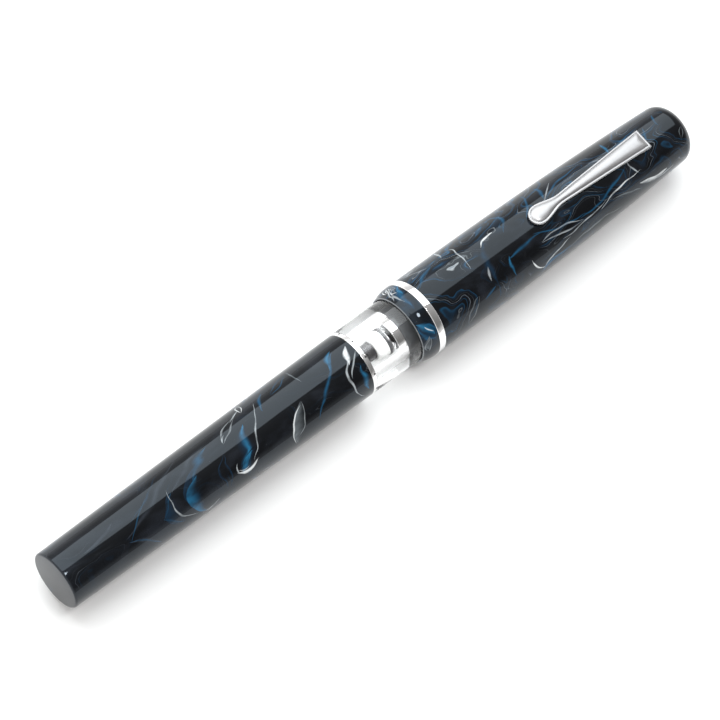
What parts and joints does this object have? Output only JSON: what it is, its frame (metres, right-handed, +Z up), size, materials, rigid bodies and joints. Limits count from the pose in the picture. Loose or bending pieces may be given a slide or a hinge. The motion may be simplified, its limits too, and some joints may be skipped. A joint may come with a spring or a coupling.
{
  "type": "fountain pen",
  "caption": "Capped fountain pen with a sprung clip, a screw-off cap, a clear ink window and a pull-rod filler closed by a screw knob.",
  "frame": {"origin": "on the surface the pen lies on, under the middle of its length and width", "axes": "+X along the pen from the filler knob to the top of the cap, +Z up through the clip, +Y across the pen"},
  "size_m": [0.1498, 0.015, 0.0163],
  "materials": {
    "marbled_resin": "polished black resin with blue and white swirls",
    "black_resin": "polished black resin",
    "black_plastic": "moulded black plastic",
    "black_rubber": "black nitrile rubber",
    "white_seal": "white sealing plastic",
    "clear_acrylic": "polished clear acrylic",
    "chrome": "polished chrome",
    "turned_steel": "turned stainless steel",
    "nib_steel": "polished stainless steel",
    "brass": "turned brass",
    "joint_ring": "bright polished ring",
    "joint_pins": "dark pins"
  },
  "bodies": {
    "pen_body": {"barrel": "marbled_resin", "joint_ring": "joint_ring", "joint_pins": "joint_pins", "ink_window": "clear_acrylic", "shutoff_seat": "chrome", "section": "black_resin", "section_seal": "black_rubber", "section_ring": "chrome", "nib": "nib_steel", "feed": "black_plastic", "nib_collar": "black_plastic", "packing_nut": "turned_steel", "packing_bush": "black_plastic", "packing_seals": "black_rubber"},
    "plunger": {"plunger_rod": "turned_steel", "plunger_collar": "turned_steel", "plunger_seal": "white_seal", "plunger_ring": "black_rubber", "plunger_nose": "turned_steel"},
    "filler_knob": {"knob": "marbled_resin", "knob_core": "brass"},
    "cap_liner": {"inner_cap": "black_plastic"},
    "cap": {"cap_lip": "marbled_resin", "cap_band": "chrome", "cap_tube": "marbled_resin", "clip_bush": "black_plastic"},
    "clip": {"clip": "chrome"}
  },
  "joints": [
    {"name": "plunger_pull", "type": "slide", "parent": "pen_body", "child": "plunger", "axis": [-1, 0, 0], "range_m": [0, 0.039]},
    {"name": "knob_turn", "type": "hinge", "parent": "plunger", "child": "filler_knob", "pos_m": [-0.0639, 0, 0.00755], "axis": [-1, 0, 0], "range_deg": [0, 1080]},
    {"name": "cap_pull", "type": "slide", "parent": "pen_body", "child": "cap_liner", "axis": [1, 0, 0], "range_m": [0, 0.06]},
    {"name": "cap_turn", "type": "hinge", "parent": "cap_liner", "child": "cap", "pos_m": [0.0351, 0, 0.00755], "axis": [1, 0, 0], "range_deg": [0, 540]},
    {"name": "clip_flex", "type": "hinge", "parent": "cap", "child": "clip", "pos_m": [0.06315, 0, 0.01375], "axis": [0, 1, 0], "range_deg": [0, 4], "stiffness_Nm_per_rad": 4}
  ]
}
